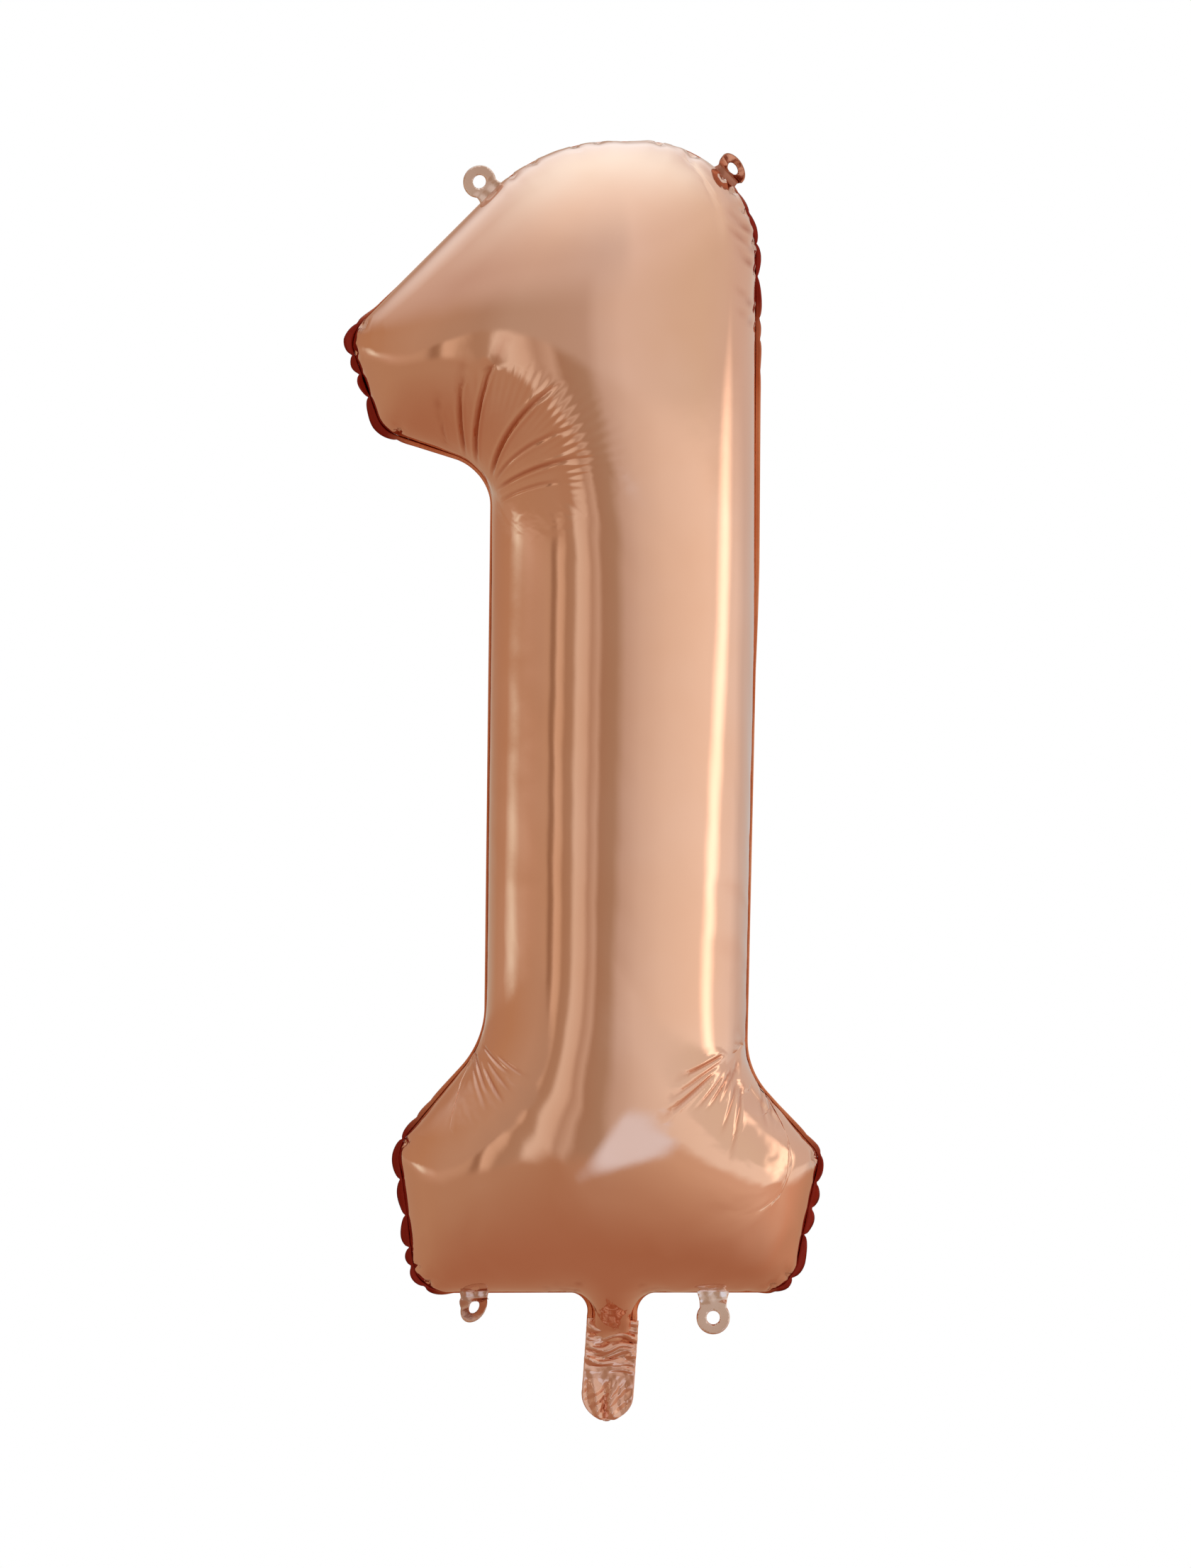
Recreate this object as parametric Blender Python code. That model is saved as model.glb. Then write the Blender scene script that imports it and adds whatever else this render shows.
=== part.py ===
"""Foil number balloon: a figure one in rose gold film, hung by its two upper tabs.

Metres, +Z up. The front faces -Y, and the two films meet in a seam that lies in the plane Y = 0.
The origin is midway between the holes of the two upper tabs, on the line that a ribbon through
them follows. Sizes in the tables are in millimetres, with heights measured up from the lowest
point of the filling tail: place() turns them into metres from the origin.
"""

import math

import bpy
import numpy as np
from mathutils import Vector
from mathutils.geometry import delaunay_2d_cdt

MM = 0.001
HANG_X = -8.4  # mm, the middle of the two upper holes
HANG_Z = 929.2  # mm above the tail's lowest point

# The seam line as the corners of the inflated figure, clockwise: x, z and corner radius in mm.
SEAM_CORNERS = [
    (-56, 954, 130),  # crown, left
    (103, 954, 85),  # crown, right
    (102.5, 600, 3000),  # slight lean of the stem
    (95, 261, 60),  # right waist
    (150.5, 198, 14),  # right shoulder of the base
    (129, 96, 28),  # right foot
    (11.5, 96, 18),  # neck, right
    (9.5, 58, 13.5),  # belly that reaches into the neck
    (-19.5, 58, 13.5),
    (-17.5, 96, 16),  # neck, left
    (-149.5, 96, 26),  # left foot
    (-163.5, 205, 30),  # left shoulder of the base
    (-98, 283, 70),  # left waist
    (-93, 711, 40),  # armpit under the flag
    (-175, 738.7, 25),  # flag, lower corner
    (-201, 809, 25),  # flag, tip
]
BULGE = 1.0  # height of the film over the seam plane, as a share of a round section
RIM_Y = 0.8  # mm, each panel's edge stands this far off the seam plane
PANEL_FILM = 0.6  # mm, thick enough to be a solid: the real film is 0.03 mm
SEAM_STEP = 17  # mm between points along the seam
PANEL_STEP = 20  # mm between points inside a panel
EDGE_RINGS = (2.4, 9.0)  # mm, rows of points that follow the seam, where the film is steepest
RING_CLEARANCE = 0.4  # of PANEL_STEP, how far the inner points keep off the last ring
ARC_CHORD = 0.45  # of the radius, the longest chord on a rounded corner
ON_SEAM = 0.01  # mm, a point this near the seam is on it

SEAL_GAP = 0.3  # mm
SEAL_WIDTH = 4.5  # mm
SEAL_FILM = 0.5  # mm, both films fused

TAB_RADIUS = 12.5  # mm
TAB_HOLE_RADIUS = 5.0  # mm
TAB_FLARE = 2.5  # mm, how much wider the root is than the disc's chord there
TAB_TWIST_LENGTH = 5.0  # mm of neck that takes up the twist
TAB_NECK = 0.72  # of the radius, the narrowest that a neck gets
TAB_RIM_POINTS = 26
TAB_HOLE_POINTS = 20
# Root x, root z, direction away from the seam in degrees from +X, distance from the seam to the
# hole, lean towards the front in degrees about the root, and twist in degrees about its length.
TABS = {
    "tab_upper_left": (-94.3, 915.7, 135, 12.5, 0, 0),
    "tab_upper_right": (79.7, 927.5, 43.5, 11.3, 48, 0),
    "tab_lower_left": (-107.0, 96.0, 270, 12.5, 34, -36),
    "tab_lower_right": (71.4, 96.0, 270, 19.5, 0, 0),
}

TAIL_LEAN = 4.0  # degrees, the tail's lower end stands to the left
TAIL_WIDTH = 38.5  # mm
TAIL_TOP = (-5.1, 51.4)  # mm, middle of its upper edge
TAIL_FOLD_GAP = 0.9  # mm from the fold line up to the seal and down to the tail
TAIL_LENGTH = 51.5  # mm
TAIL_FILM = 0.4  # mm
TAIL_PLY_Y = 0.75  # mm, middle of each ply from the seam plane
TAIL_SEAM_WIDTH = 4.0  # mm, fused strip down each side of the tail
TAIL_SEAM_FILM = 0.5  # mm
TAIL_END_POINTS = 17
TAIL_SEAM_END_POINTS = 5

VALVE_WIDTH = 21.0  # mm
VALVE_LENGTH = 120.0  # mm
VALVE_FILM = 0.25  # mm
VALVE_Y = 0.33  # mm, middle of each film from the seam plane
VALVE_BOTTOM = (-4.0, 68.0)  # mm, middle of its lower edge
VALVE_CHAMFER = 0.4  # of the half width, cut off each upper corner


def clear_scene():
    for obj in list(bpy.data.objects):
        bpy.data.objects.remove(obj, do_unlink=True)


def make_material(name, color, metallic, roughness, alpha=1.0):
    material = bpy.data.materials.new(name)
    material.use_nodes = True
    shader = material.node_tree.nodes["Principled BSDF"]
    shader.inputs["Base Color"].default_value = (*color, 1)
    shader.inputs["Metallic"].default_value = metallic
    shader.inputs["Roughness"].default_value = roughness
    shader.inputs["Alpha"].default_value = alpha
    material.diffuse_color = (*color, alpha)
    return material


def place(points):
    """Points in mm, heights from the tail's lowest point, as metres from the origin."""
    return (np.asarray(points, float) - (HANG_X, 0, HANG_Z)) * MM


def arc(start, corner, end, radius, step):
    """Points of the fillet that rounds a corner, from its first tangent point to its last."""
    into = (corner - start) / np.linalg.norm(corner - start)
    out = (end - corner) / np.linalg.norm(end - corner)
    turn = math.acos(np.clip(into @ out, -1, 1))
    side = math.copysign(1, into[0] * out[1] - into[1] * out[0])
    first = corner - into * radius * math.tan(turn / 2)
    middle = first + radius * side * np.array([-into[1], into[0]])
    count = max(2, math.ceil(radius * turn / min(step, radius * ARC_CHORD)))
    arm = first - middle
    square = np.array([-arm[1], arm[0]])
    angles = np.linspace(0, side * turn, count + 1)
    return [middle + arm * math.cos(a) + square * math.sin(a) for a in angles]


def rounded_outline(corners, step):
    """A closed outline with rounded corners, as points at most a step apart."""
    points = []
    places = [np.array(c[:2], float) for c in corners]
    for i, (_, _, radius) in enumerate(corners):
        points += arc(places[i - 1], places[i], places[(i + 1) % len(corners)], radius, step)
    outline = []
    for a, b in zip(points, points[1:] + points[:1]):
        count = max(1, math.ceil(np.linalg.norm(b - a) / step))
        outline += [a + (b - a) * k / count for k in range(count)]
    return np.array(outline)


def offset(outline, distance):
    """A clockwise outline moved outwards, or inwards if the distance is negative."""
    along = np.roll(outline, -1, axis=0) - np.roll(outline, 1, axis=0)
    along /= np.linalg.norm(along, axis=1)[:, None]
    return outline + distance * np.stack([-along[:, 1], along[:, 0]], axis=1)


def is_inside(points, outline):
    """Whether each point is inside the outline, by counting the edges to its right."""
    inside = np.zeros(len(points), bool)
    for a, b in zip(outline, np.roll(outline, -1, axis=0)):
        crosses = (a[1] > points[:, 1]) != (b[1] > points[:, 1])
        share = (points[:, 1] - a[1]) / (b[1] - a[1] if b[1] != a[1] else 1)
        inside ^= crosses & (points[:, 0] < a[0] + share * (b[0] - a[0]))
    return inside


def triangulate(loops, loose=()):
    """Points and triangles of a flat shape: its outer loop, its holes, and points inside it."""
    points = [Vector(p) for loop in loops for p in loop] + [Vector(p) for p in loose]
    edges = []
    start = 0
    for loop in loops:
        edges += [(start + i, start + (i + 1) % len(loop)) for i in range(len(loop))]
        start += len(loop)
    found, _, faces, *_ = delaunay_2d_cdt(points, edges, [], 1, 1e-6)
    found = np.array([p[:] for p in found])
    middles = found[np.array(faces)].mean(axis=1)
    in_hole = np.zeros(len(faces), bool)
    for hole in loops[1:]:
        in_hole |= is_inside(middles, hole)
    return found, [tuple(face) for face, empty in zip(faces, in_hole) if not empty]


def lattice(outline, step, clearance):
    """Points of a triangular lattice inside the outline, this clear of its edge."""
    low, high = outline.min(axis=0), outline.max(axis=0)
    points = []
    for row, z in enumerate(np.arange(low[1], high[1], step * math.sqrt(0.75))):
        points += [(x, z) for x in np.arange(low[0] + row % 2 * step / 2, high[0], step)]
    points = np.array(points)
    points = points[is_inside(points, outline)]
    side = np.roll(outline, -1, axis=0) - outline
    edge = np.concatenate([outline + side * share for share in (0, 0.25, 0.5, 0.75)])
    gap = np.array([np.linalg.norm(edge - p, axis=1).min() for p in points])
    return points[gap > clearance]


def film_heights(points, faces, outline):
    """How far the inflated film stands off the seam plane.

    u is the shape of a soap film under pressure, held at the seam. A strip of half-width r has
    u = (r * r - x * x) / 2, so the square root of 2u makes a stem's section round.
    """
    count = len(points)
    stiffness = np.zeros((count, count))
    load = np.zeros(count)
    for face in faces:
        corners = points[list(face)]
        twice_area = abs(np.cross(corners[1] - corners[0], corners[2] - corners[0]))
        for k in range(3):
            i, j, opposite = face[k], face[(k + 1) % 3], corners[(k + 2) % 3]
            cotangent = (points[i] - opposite) @ (points[j] - opposite) / twice_area
            stiffness[[i, j], [j, i]] -= cotangent / 2
            stiffness[[i, j], [i, j]] += cotangent / 2
            load[i] += twice_area / 6
    gap = np.array([np.linalg.norm(outline - p, axis=1).min() for p in points])
    free = gap > ON_SEAM
    u = np.zeros(count)
    u[free] = np.linalg.solve(stiffness[np.ix_(free, free)], load[free])
    return BULGE * np.sqrt(2 * np.maximum(u, 0))


def add_sheet(name, points, faces, film, material, pivot=(0, 0, 0), inwards=False):
    """A closed sheet object of this thickness, from points in mm, with its origin at the pivot."""
    pivot = Vector(pivot)
    mesh = bpy.data.meshes.new(name)
    mesh.from_pydata([Vector(p) - pivot for p in place(points)], [], faces)
    mesh.materials.append(material)
    mesh.validate()
    obj = bpy.data.objects.new(name, mesh)
    obj.location = pivot
    bpy.context.scene.collection.objects.link(obj)
    thickness = obj.modifiers.new("film", "SOLIDIFY")
    thickness.thickness = film * MM
    thickness.offset = -1 if inwards else 0
    return obj


def facing_front(points, faces):
    """The triangles of a flat shape in x and z, each turned so that it faces -Y."""
    turned = []
    for a, b, c in faces:
        anticlockwise = np.cross(points[b] - points[a], points[c] - points[a]) > 0
        turned.append((a, b, c) if anticlockwise else (a, c, b))
    return turned


def add_flat_sheet(name, loops, y, film, material, pivot=(0, 0, 0)):
    """A flat sheet in the plane at this y, from outlines in x and z."""
    points, faces = triangulate(loops)
    sheet = np.insert(points, 1, y, axis=1)
    return add_sheet(name, sheet, facing_front(points, faces), film, material, pivot)


def add_panels(seam, material):
    """The front and rear films, each one half of the inflated skin."""
    rings = [offset(seam, -distance) for distance in EDGE_RINGS]
    inner = lattice(seam, PANEL_STEP, EDGE_RINGS[-1] + PANEL_STEP * RING_CLEARANCE)
    points, faces = triangulate([seam], np.concatenate([*rings, inner]))
    faces = facing_front(points, faces)
    height = RIM_Y + film_heights(points, faces, seam)
    front = np.stack([points[:, 0], -height, points[:, 1]], axis=1)
    rear = front * (1, -1, 1)
    objects = [
        add_sheet("front_panel", front, faces, PANEL_FILM, material, inwards=True),
        add_sheet("rear_panel", rear, [face[::-1] for face in faces], PANEL_FILM, material, inwards=True),
    ]
    for obj in objects:
        obj.data.shade_smooth()


def add_edge_seal(seam, material):
    """The fused band that runs all round the figure outside the inflated part."""
    inner = offset(seam, SEAL_GAP)
    outer = offset(seam, SEAL_GAP + SEAL_WIDTH)
    add_flat_sheet("edge_seal", [outer, inner], 0, SEAL_FILM, material)


def tab_outline(root, reach):
    """Outer loop of a tab in its own plane: across, and away from the seam."""
    chord = math.sqrt(max(TAB_RADIUS**2 - (reach - root) ** 2, (TAB_RADIUS * TAB_NECK) ** 2))
    rise = math.asin(min(1, chord / TAB_RADIUS))
    disc = [
        (TAB_RADIUS * math.sin(a), reach - TAB_RADIUS * math.cos(a))
        for a in np.linspace(rise, 2 * math.pi - rise, TAB_RIM_POINTS)
    ]
    foot = disc[0][1] - root
    flare = [(chord + TAB_FLARE * (1 - s) ** 2, root + foot * s) for s in (0, 0.3, 0.6) if foot > 1]
    flare = flare or [(chord + TAB_FLARE, root)]
    return flare + disc + [(-x, v) for x, v in reversed(flare)]


def add_tab(name, material, root_x, root_z, direction, reach, lean, twist):
    """A hanging tab with a punched hole, which folds along its root."""
    root = SEAL_GAP + SEAL_WIDTH + SEAL_GAP
    outline = tab_outline(root, reach)
    hole = [
        (TAB_HOLE_RADIUS * math.cos(a), reach + TAB_HOLE_RADIUS * math.sin(a))
        for a in np.linspace(0, 2 * math.pi, TAB_HOLE_POINTS, endpoint=False)
    ]
    points, faces = triangulate([outline, hole])
    faces = facing_front(points, faces)
    across, away = points[:, 0], points[:, 1] - root
    share = np.clip(away / TAB_TWIST_LENGTH, 0, 1)
    angle = np.radians(twist) * share * share * (3 - 2 * share)
    across, forward = across * np.cos(angle), across * np.sin(angle)
    tilt = math.radians(lean)
    away, forward = (
        away * math.cos(tilt) - forward * math.sin(tilt),
        away * math.sin(tilt) + forward * math.cos(tilt),
    )
    out = np.array([math.cos(math.radians(direction)), math.sin(math.radians(direction))])
    along = np.array([out[1], -out[0]])
    flat = np.array([root_x, root_z]) + np.outer(away + root, out) + np.outer(across, along)
    sheet = np.stack([flat[:, 0], -forward, flat[:, 1]], axis=1)
    hinge = np.array([root_x, root_z]) + out * root
    pivot = place((hinge[0], 0, hinge[1]))
    add_sheet(name, sheet, faces, SEAL_FILM, material, pivot)


def tail_point(across, down):
    """A point of the tail in x and z: across it, and down from the middle of its upper edge."""
    lean = math.radians(TAIL_LEAN)
    x = TAIL_TOP[0] + across * math.cos(lean) - down * math.sin(lean)
    z = TAIL_TOP[1] - across * math.sin(lean) - down * math.cos(lean)
    return x, z


def tail_loop(half_inner):
    """The tail's outline, or the strip on one side of it outside half_inner."""
    half = TAIL_WIDTH / 2
    end = TAIL_LENGTH - half
    turn = math.acos(half_inner / half) if half_inner else math.pi
    angles = np.linspace(0, turn, TAIL_SEAM_END_POINTS if half_inner else TAIL_END_POINTS)
    rim = [(half * math.cos(a), end + half * math.sin(a)) for a in angles]
    first = [(half_inner, 0), (half, 0)] if half_inner else [(-half, 0), (half, 0)]
    return first + rim


def add_tail(film, seam_material):
    """The flat filling tail: two plies with a fused strip down each side between them."""
    fold = tail_point(0, -TAIL_FOLD_GAP)
    pivot = place((fold[0], 0, fold[1]))
    outline = [tail_point(*p) for p in tail_loop(0)]
    add_flat_sheet("tail_front_ply", [outline], -TAIL_PLY_Y, TAIL_FILM, film, pivot)
    add_flat_sheet("tail_rear_ply", [outline], TAIL_PLY_Y, TAIL_FILM, film, pivot)
    strip = tail_loop(TAIL_WIDTH / 2 - TAIL_SEAM_WIDTH)
    for name, side in (("tail_left_seam", -1), ("tail_right_seam", 1)):
        loop = [tail_point(side * across, down) for across, down in strip]
        add_flat_sheet(name, [loop], 0, TAIL_SEAM_FILM, seam_material, pivot)


def add_valve(material):
    """The self-closing valve: two clear films that lie against each other inside the neck."""
    half = VALVE_WIDTH / 2
    x, z = VALVE_BOTTOM
    corner = half * VALVE_CHAMFER
    top = z + VALVE_LENGTH
    loop = [(x - half, z), (x + half, z), (x + half, top - corner)]
    loop += [(x + half - corner, top), (x - half + corner, top), (x - half, top - corner)]
    for name, y in (("valve_front_film", -VALVE_Y), ("valve_rear_film", VALVE_Y)):
        add_flat_sheet(name, [loop], y, VALVE_FILM, material)


def main():
    clear_scene()
    foil = make_material("rose_gold_foil", (0.68, 0.36, 0.24), 1.0, 0.14)
    fused = make_material("fused_foil_edge", (0.40, 0.13, 0.07), 1.0, 0.25)
    pale = make_material("crinkled_foil", (0.72, 0.46, 0.36), 1.0, 0.2)
    clear = make_material("clear_valve_film", (0.85, 0.86, 0.86), 0.0, 0.15, 0.4)
    seam = rounded_outline(SEAM_CORNERS, SEAM_STEP)
    add_panels(seam, foil)
    add_edge_seal(seam, fused)
    for name, sizes in TABS.items():
        add_tab(name, pale, *sizes)
    add_tail(pale, fused)
    add_valve(clear)


main()
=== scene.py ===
import math
import bpy
import numpy as np
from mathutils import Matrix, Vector
from mathutils.geometry import delaunay_2d_cdt


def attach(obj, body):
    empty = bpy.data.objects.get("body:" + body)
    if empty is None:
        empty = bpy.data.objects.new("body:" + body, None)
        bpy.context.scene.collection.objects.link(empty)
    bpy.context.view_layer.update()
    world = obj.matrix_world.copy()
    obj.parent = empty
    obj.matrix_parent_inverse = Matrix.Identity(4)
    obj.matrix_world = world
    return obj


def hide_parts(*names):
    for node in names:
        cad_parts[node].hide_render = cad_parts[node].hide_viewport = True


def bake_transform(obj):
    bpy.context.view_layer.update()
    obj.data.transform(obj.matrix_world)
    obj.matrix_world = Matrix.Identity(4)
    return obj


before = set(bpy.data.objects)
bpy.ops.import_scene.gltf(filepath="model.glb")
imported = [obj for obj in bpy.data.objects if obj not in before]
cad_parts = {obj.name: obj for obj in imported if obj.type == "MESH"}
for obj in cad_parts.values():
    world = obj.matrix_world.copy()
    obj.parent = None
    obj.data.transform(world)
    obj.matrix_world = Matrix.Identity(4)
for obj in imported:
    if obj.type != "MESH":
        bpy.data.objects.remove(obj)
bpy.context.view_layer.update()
print("frame loaded:", len(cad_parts), "cad nodes")

# lengths are millimetres until a mesh is made; x and z hang from the middle of the two upper holes
millimetre = 0.001
hang = np.array([-8.4, 929.2])

# corners of the welded seam: x, z, radius, clockwise from the crown's left
seamCorners = [
    (-56, 954, 130), (103, 954, 85), (102.5, 600, 3000), (95, 261, 60), (150.5, 198, 14), (129, 96, 28),
    (11.5, 96, 18), (9.5, 58, 13.5), (-19.5, 58, 13.5), (-17.5, 96, 16), (-149.5, 96, 26), (-163.5, 205, 30),
    (-98, 283, 70), (-93, 711, 40), (-175, 738.7, 25), (-201, 809, 25),
]
# the same corners where the flat film is cut, before the gas pulls the seam in
cutCorners = [
    (-74, 990, 150), (126, 990, 118), (146, 640, 500), (147, 263, 160), (179, 186, 34), (161, 76, 44),
    (20, 70, 14), (18, 36, 18), (-28, 36, 18), (-26, 70, 14), (-182, 74, 44), (-194, 190, 50),
    (-153, 287, 120), (-150, 716, 36), (-215, 770, 36), (-222, 846, 30),
]
outlineSteps = {"seam": 1.5, "gasShape": 3.0}     # mm between the points of the two outlines worked with


# shared helpers

def linearColour(hexCode, alpha=1.0):
    parts = [int(hexCode[i:i + 2], 16) / 255 for i in (1, 3, 5)]
    return [c / 12.92 if c <= 0.04045 else ((c + 0.055) / 1.055) ** 2.4 for c in parts] + [alpha]


def deselectAll():
    if bpy.context.object and bpy.context.object.mode != "OBJECT":
        bpy.ops.object.mode_set(mode="OBJECT")
    bpy.ops.object.select_all(action="DESELECT")


def makeActive(obj):
    deselectAll()
    obj.select_set(True)
    bpy.context.view_layer.objects.active = obj


def meshObject(name, points, faces, material):
    mesh = bpy.data.meshes.new(name)
    mesh.from_pydata((np.asarray(points) * millimetre).tolist(), [], np.asarray(faces).tolist())
    mesh.update()
    obj = bpy.data.objects.new(name, mesh)
    bpy.context.scene.collection.objects.link(obj)
    if material:
        mesh.materials.append(material)
    return obj


def applyModifier(obj, kind, **settings):
    makeActive(obj)
    modifier = obj.modifiers.new(kind.lower(), kind)
    for key, value in settings.items():
        setattr(modifier, key, value)
    bpy.ops.object.modifier_apply(modifier=modifier.name)


def thicken(obj, film, offset):
    applyModifier(obj, "SOLIDIFY", thickness=film * millimetre, offset=offset, use_even_offset=False)


def paintPoints(obj, name, values):
    # a number on every point, for a material to read
    layer = obj.data.attributes.new(name, "FLOAT", "POINT")
    layer.data.foreach_set("value", np.asarray(values, np.float32))


def smoothShade(obj):
    makeActive(obj)
    bpy.ops.object.shade_smooth()


def smoothStep(value):
    # 0 to 1 with a soft start and end
    value = np.clip(value, 0, 1)
    return value * value * (3 - 2 * value)


def triangleWave(value):
    # straight rises and falls between -1 and 1, one for each whole number
    return 2 * np.abs(2 * (value - np.floor(value + 0.5))) - 1


# outlines and flat film

def cornerArc(before, corner, after, radius):
    arrive = (corner - before) / np.linalg.norm(corner - before)
    leave = (after - corner) / np.linalg.norm(after - corner)
    turn = math.acos(np.clip(arrive @ leave, -1, 1))
    side = math.copysign(1, arrive[0] * leave[1] - arrive[1] * leave[0])
    first = corner - arrive * radius * math.tan(turn / 2)
    middle = first + radius * side * np.array([-arrive[1], arrive[0]])
    return first, middle, side * turn


def roundedLoop(corners, step, counts=None):
    # points of a rounded outline, how many each arc and straight got, and each point's bend (1/mm)
    places = [np.array(c[:2], float) - hang for c in corners]
    total = len(places)
    arcs, arcCounts, straightCounts, loop, bends = [], [], [], [], []
    for k, (_, _, radius) in enumerate(corners):
        first, middle, turn = cornerArc(places[k - 1], places[k], places[(k + 1) % total], radius)
        parts = counts[0][k] if counts else max(3, round(radius * abs(turn) / step))
        angles = np.linspace(0, turn, parts + 1)
        arm = first - middle
        x = middle[0] + arm[0] * np.cos(angles) - arm[1] * np.sin(angles)
        z = middle[1] + arm[0] * np.sin(angles) + arm[1] * np.cos(angles)
        arcs.append(np.stack([x, z], 1))
        arcCounts.append(parts)
    for k in range(total):
        radius = corners[k][2]
        start, end = arcs[k][-1], arcs[(k + 1) % total][0]
        parts = counts[1][k] if counts else max(1, round(np.linalg.norm(end - start) / step))
        straightCounts.append(parts)
        loop.append(arcs[k][:-1])
        loop.append(start + (end - start) * (np.arange(parts) / parts)[:, None])
        _, _, turn = cornerArc(places[k - 1], places[k], places[(k + 1) % total], radius)
        bends += [-math.copysign(1 / radius, turn)] * (len(arcs[k]) - 1) + [0.0] * parts
    return np.concatenate(loop), (arcCounts, straightCounts), np.array(bends)


def spanOf(loop):
    # from each of the loop's points to the next
    return np.linalg.norm(np.roll(loop, -1, 0) - loop, axis=1)


def insideOf(points, loop):
    result = np.zeros(len(points), bool)
    for a, b in zip(loop, np.roll(loop, -1, 0)):
        if a[1] == b[1]:
            continue
        crosses = (a[1] > points[:, 1]) != (b[1] > points[:, 1])
        result ^= crosses & (points[:, 0] < a[0] + (points[:, 1] - a[1]) / (b[1] - a[1]) * (b[0] - a[0]))
    return result


def nearestOn(points, loop):
    # distance to the nearest of the loop's points, and which it is
    distance, which = [], []
    batch = 2000                      # points at a time, to spare memory
    for k in range(0, len(points), batch):
        apart = np.linalg.norm(points[k:k + batch, None] - loop[None], axis=2)
        which.append(apart.argmin(1))
        distance.append(apart.min(1))
    return np.concatenate(distance), np.concatenate(which)


def hexLattice(loop, step):
    low, high = loop.min(0), loop.max(0)
    rows = []
    for k, z in enumerate(np.arange(low[1], high[1], step * math.sqrt(0.75))):
        x = np.arange(low[0] + k % 2 * step / 2, high[0], step)
        rows.append(np.stack([x, np.full(len(x), z)], 1))
    points = np.concatenate(rows)
    return points[insideOf(points, loop)]


def doubleAreas(points, faces):
    # twice each triangle's area, below nought where it is turned over
    a, b, c = (points[faces[:, k]] for k in range(3))
    return (b - a)[:, 0] * (c - a)[:, 1] - (b - a)[:, 1] * (c - a)[:, 0]


def flatArea(points, faces):
    return float(np.abs(doubleAreas(points, faces)).sum() / 2)


def triangulate(rings, loose):
    # triangles inside the first ring, through the loose points; further rings become edges in them
    edges, first = [], 0
    for ring in rings:
        edges += [(first + k, first + (k + 1) % len(ring)) for k in range(len(ring))]
        first += len(ring)
    points = [Vector(p) for p in np.concatenate([*rings, loose])]
    made, _, faces, *_ = delaunay_2d_cdt(points, edges, [], 1, 1e-6)
    made = np.array([p[:] for p in made])
    faces = np.array([tuple(f) for f in faces])
    turned = doubleAreas(made, faces) < 0
    faces[turned] = faces[turned][:, ::-1]
    return made, faces


# the gas-filled shape: y squared is twice a field whose laplacian is -1 and which is nought on the seam

def fitDome(loop):
    # field = -r^2/4 plus logs of the distance to sources standing off outside the seam
    standOff, every = 12.0, 2         # mm, and every second point has a source
    ahead = np.roll(loop, -1, 0) - np.roll(loop, 1, 0)
    outward = np.stack([-ahead[:, 1], ahead[:, 0]], 1) / np.linalg.norm(ahead, axis=1)[:, None]
    sources = (loop + outward * standOff)[::every]
    centre = loop.mean(0)
    logs = np.log(np.linalg.norm(loop[:, None] - sources[None], axis=2))
    system = np.column_stack([logs, np.ones(len(loop))])
    weights = np.linalg.lstsq(system, ((loop - centre) ** 2).sum(1) / 4, rcond=1e-10)[0]
    return {"sources": sources, "weights": weights, "centre": centre}


def domeField(dome, points):
    # the field and its gradient in x and z
    value = np.empty(len(points))
    slope = np.empty((len(points), 2))
    weights = dome["weights"][:-1]
    batch = 4000                      # points at a time, to spare memory
    for k in range(0, len(points), batch):
        part = slice(k, k + batch)
        away = points[part, None] - dome["sources"][None]
        squared = (away ** 2).sum(2)
        value[part] = 0.5 * np.log(squared) @ weights
        slope[part] = np.einsum("ijk,ij,j->ik", away, 1 / squared, weights)
    fromCentre = points - dome["centre"]
    value += dome["weights"][-1] - (fromCentre ** 2).sum(1) / 4
    return value, slope - fromCentre / 2


def onDome(dome, points, rounds):
    # the nearest places on the gas-filled shape, found step by step, and the outward direction there
    foot = points.copy()
    for _ in range(rounds):
        value, slope = domeField(dome, foot[:, [0, 2]])
        miss = foot[:, 1] ** 2 - 2 * value
        away = np.stack([-2 * slope[:, 0], 2 * foot[:, 1], -2 * slope[:, 1]], 1)
        size = np.maximum((away ** 2).sum(1), 1)
        foot -= away * (miss / size)[:, None]
    _, slope = domeField(dome, foot[:, [0, 2]])
    away = np.stack([-slope[:, 0], foot[:, 1], -slope[:, 1]], 1)
    return foot, away / np.maximum(np.linalg.norm(away, axis=1), 1e-6)[:, None]


def edgesOf(faces):
    # every edge once, and for each side of each triangle which edge it is
    pairs = np.sort(np.concatenate([faces[:, [0, 1]], faces[:, [1, 2]], faces[:, [2, 0]]]), axis=1)
    return np.unique(pairs, axis=0, return_inverse=True)


def relax(values, edges, total, rounds, held=None):
    # every value moves half way to the mean of its neighbours, but for those in held
    values = values.copy()
    columns = values.reshape(total, -1)
    count = np.bincount(edges.ravel(), minlength=total)[:, None]
    for _ in range(rounds):
        mean = np.zeros_like(columns)
        for c in range(columns.shape[1]):
            mean[:, c] = np.bincount(edges[:, 0], columns[edges[:, 1], c], total)
            mean[:, c] += np.bincount(edges[:, 1], columns[edges[:, 0], c], total)
        mean /= count
        moved = 0.5 * columns + 0.5 * mean
        if held is not None:
            moved[held] = columns[held]
        columns[:] = moved
    return values


def halveEdges(faces, total):
    # each triangle in four: the new faces, and the two ends of every new point's edge
    edges, which = edgesOf(faces)
    which = which.reshape(3, -1).T + total
    a, b, c = faces.T
    ab, bc, ca = which.T
    finer = np.concatenate([np.stack(t, 1) for t in ((a, ab, ca), (ab, b, bc), (ca, bc, c), (ab, bc, ca))])
    return finer, edges


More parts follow.
